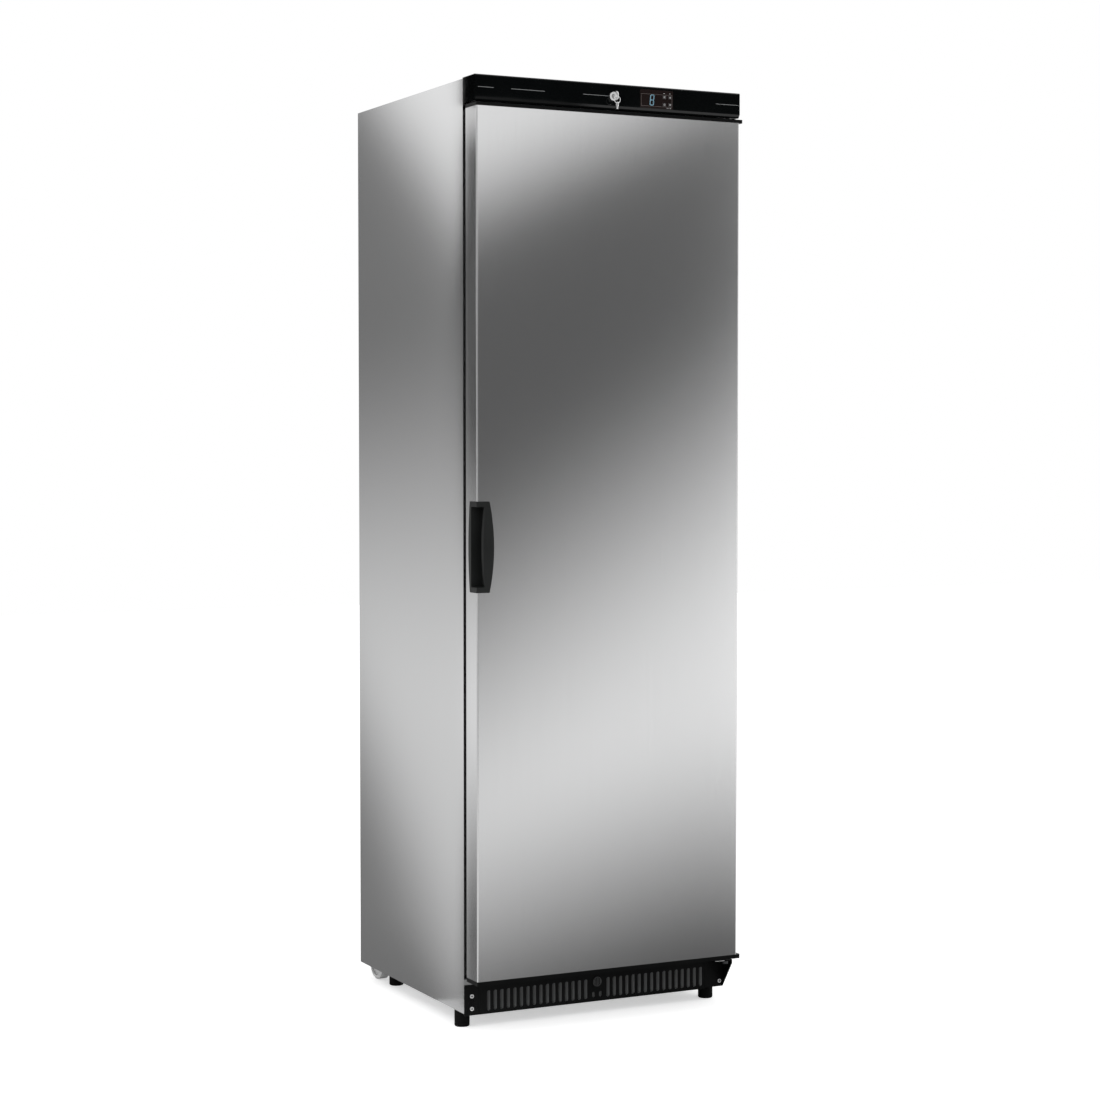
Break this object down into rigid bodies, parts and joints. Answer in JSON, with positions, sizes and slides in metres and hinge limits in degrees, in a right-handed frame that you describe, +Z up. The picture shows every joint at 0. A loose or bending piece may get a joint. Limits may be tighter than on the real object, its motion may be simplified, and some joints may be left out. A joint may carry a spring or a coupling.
{
  "type": "commercial meat refrigerator",
  "caption": "Upright commercial meat refrigerator with one solid stainless door, black header with lock and display, kick grille, wire shelves and feet.",
  "frame": {"origin": "on the floor, under the middle of the cabinet", "axes": "+Z up, -Y towards the front of the door, +X towards the hinge side"},
  "size_m": [0.608, 0.6435, 1.901],
  "materials": {
    "stainless": "vertically brushed stainless steel",
    "galvanised": "zinc-plated sheet steel",
    "foam": "rigid insulating foam",
    "white_plastic": "smooth white plastic",
    "gloss_black": "gloss black plastic",
    "black_plastic": "satin black plastic",
    "window": "smoked gloss plastic",
    "key_plastic": "satin grey plastic",
    "chrome": "polished chrome",
    "black_steel": "black powder coat",
    "rubber": "matte black rubber",
    "wheel_plastic": "grey moulded plastic",
    "copper": "bare copper tube",
    "coil_aluminium": "bare aluminium fins",
    "coated_wire": "plastic-coated wire"
  },
  "bodies": {
    "cabinet": {"side_panel_left": "stainless", "side_panel_right": "stainless", "top_panel": "stainless", "back_panel": "galvanised", "underside_panel": "galvanised", "front_sill": "stainless", "insulation_foam": "foam", "inner_liner": "white_plastic", "header_fascia": "gloss_black", "header_chassis": "galvanised", "controller_module": "black_plastic", "display_window": "window", "lock_housing": "chrome", "lower_hinge_bracket": "black_steel", "upper_hinge_bracket": "galvanised", "hinge_pins": "galvanised", "kick_grille": "black_plastic", "corner_plate": "black_steel", "base_screws": "chrome", "base_frame": "galvanised", "compressor": "black_steel", "compressor_mounts": "rubber", "condenser_coil": "black_steel", "condenser_shroud": "black_steel", "refrigerant_pipes": "copper", "evaporator_coil": "coil_aluminium", "evaporator_cover": "white_plastic", "fan_motors": "black_steel", "shelf_supports": "galvanised", "drain_parts": "white_plastic", "interior_lamp": "white_plastic", "power_inlet": "black_plastic", "rear_cover": "galvanised"},
    "door": {"door_skin": "stainless", "door_foam": "foam", "door_inner_panel": "white_plastic", "door_top_cap": "black_plastic", "door_bottom_cap": "black_plastic", "door_gasket": "rubber", "door_handle": "black_plastic", "hinge_bushes": "white_plastic"},
    "lock": {"lock_plug": "chrome", "lock_cam": "galvanised", "lock_key": "chrome"},
    "key_ring": {"key_ring": "chrome"},
    "control_key_1": {"control_key_1": "key_plastic"},
    "control_key_2": {"control_key_2": "key_plastic"},
    "control_key_3": {"control_key_3": "key_plastic"},
    "control_key_4": {"control_key_4": "key_plastic"},
    "foot_front_left": {"foot_front_left": "rubber"},
    "foot_front_right": {"foot_front_right": "rubber"},
    "foot_rear_left": {"foot_rear_left": "rubber"},
    "foot_rear_right": {"foot_rear_right": "rubber"},
    "wheel_left": {"wheel_left": "wheel_plastic"},
    "wheel_right": {"wheel_right": "wheel_plastic"},
    "evaporator_fan": {"evaporator_fan": "black_plastic"},
    "condenser_fan": {"condenser_fan": "black_plastic"},
    "shelf_1": {"shelf_1": "coated_wire"},
    "shelf_2": {"shelf_2": "coated_wire"},
    "shelf_3": {"shelf_3": "coated_wire"}
  },
  "joints": [
    {"name": "door_hinge", "type": "hinge", "parent": "cabinet", "child": "door", "pos_m": [0.288, -0.279, 0.974], "axis": [0, 0, 1], "range_deg": [0, 110]},
    {"name": "lock_turn", "type": "hinge", "parent": "cabinet", "child": "lock", "pos_m": [0.005, -0.3, 1.8757], "axis": [0, 1, 0], "range_deg": [0, 90]},
    {"name": "ring_hang", "type": "hinge", "parent": "lock", "child": "key_ring", "pos_m": [0.005, -0.3235, 1.87047], "axis": [0, 1, 0], "range_deg": [-90, 0]},
    {"name": "control_key_1_press", "type": "slide", "parent": "cabinet", "child": "control_key_1", "axis": [0, 1, 0], "range_m": [0, 0.0005], "stiffness_N_per_m": 1500},
    {"name": "control_key_2_press", "type": "slide", "parent": "cabinet", "child": "control_key_2", "axis": [0, 1, 0], "range_m": [0, 0.0005], "stiffness_N_per_m": 1500},
    {"name": "control_key_3_press", "type": "slide", "parent": "cabinet", "child": "control_key_3", "axis": [0, 1, 0], "range_m": [0, 0.0005], "stiffness_N_per_m": 1500},
    {"name": "control_key_4_press", "type": "slide", "parent": "cabinet", "child": "control_key_4", "axis": [0, 1, 0], "range_m": [0, 0.0005], "stiffness_N_per_m": 1500},
    {"name": "foot_front_left_height", "type": "slide", "parent": "cabinet", "child": "foot_front_left", "axis": [0, 0, -1], "range_m": [0, 0.015]},
    {"name": "foot_front_right_height", "type": "slide", "parent": "cabinet", "child": "foot_front_right", "axis": [0, 0, -1], "range_m": [0, 0.015]},
    {"name": "foot_rear_left_height", "type": "slide", "parent": "cabinet", "child": "foot_rear_left", "axis": [0, 0, -1], "range_m": [0, 0.015]},
    {"name": "foot_rear_right_height", "type": "slide", "parent": "cabinet", "child": "foot_rear_right", "axis": [0, 0, -1], "range_m": [0, 0.015]},
    {"name": "wheel_left_roll", "type": "hinge", "parent": "cabinet", "child": "wheel_left", "pos_m": [-0.269, 0.268, 0.0365], "axis": [1, 0, 0], "continuous": true},
    {"name": "wheel_right_roll", "type": "hinge", "parent": "cabinet", "child": "wheel_right", "pos_m": [0.269, 0.268, 0.0365], "axis": [1, 0, 0], "continuous": true},
    {"name": "evaporator_fan_spin", "type": "hinge", "parent": "cabinet", "child": "evaporator_fan", "pos_m": [0, 0.136, 1.684], "axis": [0, 1, 0], "continuous": true},
    {"name": "condenser_fan_spin", "type": "hinge", "parent": "cabinet", "child": "condenser_fan", "pos_m": [-0.156, 0.16, 0.137], "axis": [0, 1, 0], "continuous": true},
    {"name": "shelf_1_slide", "type": "slide", "parent": "cabinet", "child": "shelf_1", "axis": [0, -1, 0], "range_m": [0, 0.025]},
    {"name": "shelf_2_slide", "type": "slide", "parent": "cabinet", "child": "shelf_2", "axis": [0, -1, 0], "range_m": [0, 0.025]},
    {"name": "shelf_3_slide", "type": "slide", "parent": "cabinet", "child": "shelf_3", "axis": [0, -1, 0], "range_m": [0, 0.025]}
  ],
  "couplings": [
    {"joint": "ring_hang", "follows": "lock_turn", "ratio": -1}
  ]
}
